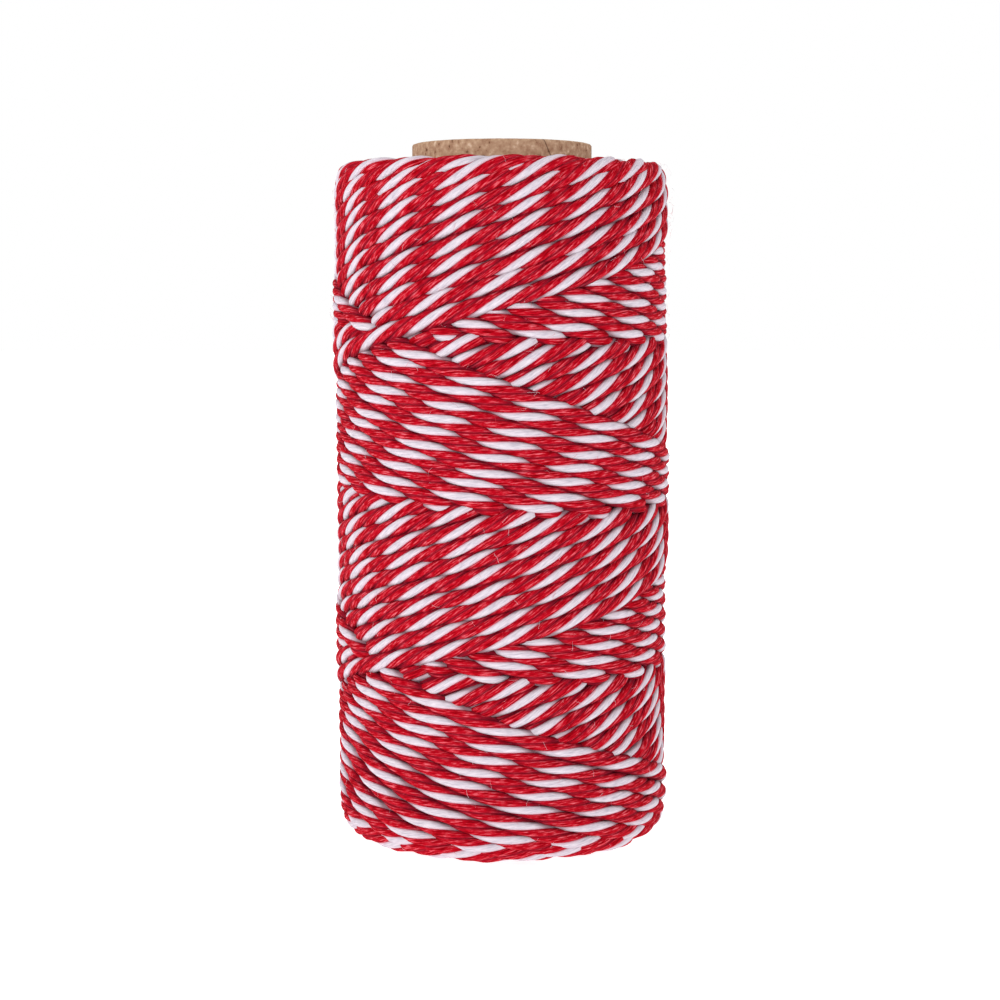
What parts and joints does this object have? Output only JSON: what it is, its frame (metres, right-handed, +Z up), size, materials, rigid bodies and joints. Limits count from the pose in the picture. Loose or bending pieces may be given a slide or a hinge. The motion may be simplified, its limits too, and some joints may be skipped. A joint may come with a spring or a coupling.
{
  "type": "roll of twisted cord",
  "caption": "Red and white twisted cotton cord, cross-wound in zigzag layers on a plain brown cardboard tube that stands upright.",
  "frame": {"origin": "centre of the tube's lower end, on the surface the roll stands on", "axes": "+Z up along the tube, -Y towards the front"},
  "size_m": [0.0502, 0.0498, 0.1033],
  "materials": {
    "red_yarn": "matte dyed cotton, softly fuzzy",
    "white_yarn": "matte bleached cotton, softly fuzzy",
    "tube_board": "matte brown chipboard with dark flecks"
  },
  "bodies": {
    "root": {"winding": "red_yarn", "tube": "tube_board"}
  },
  "joints": []
}
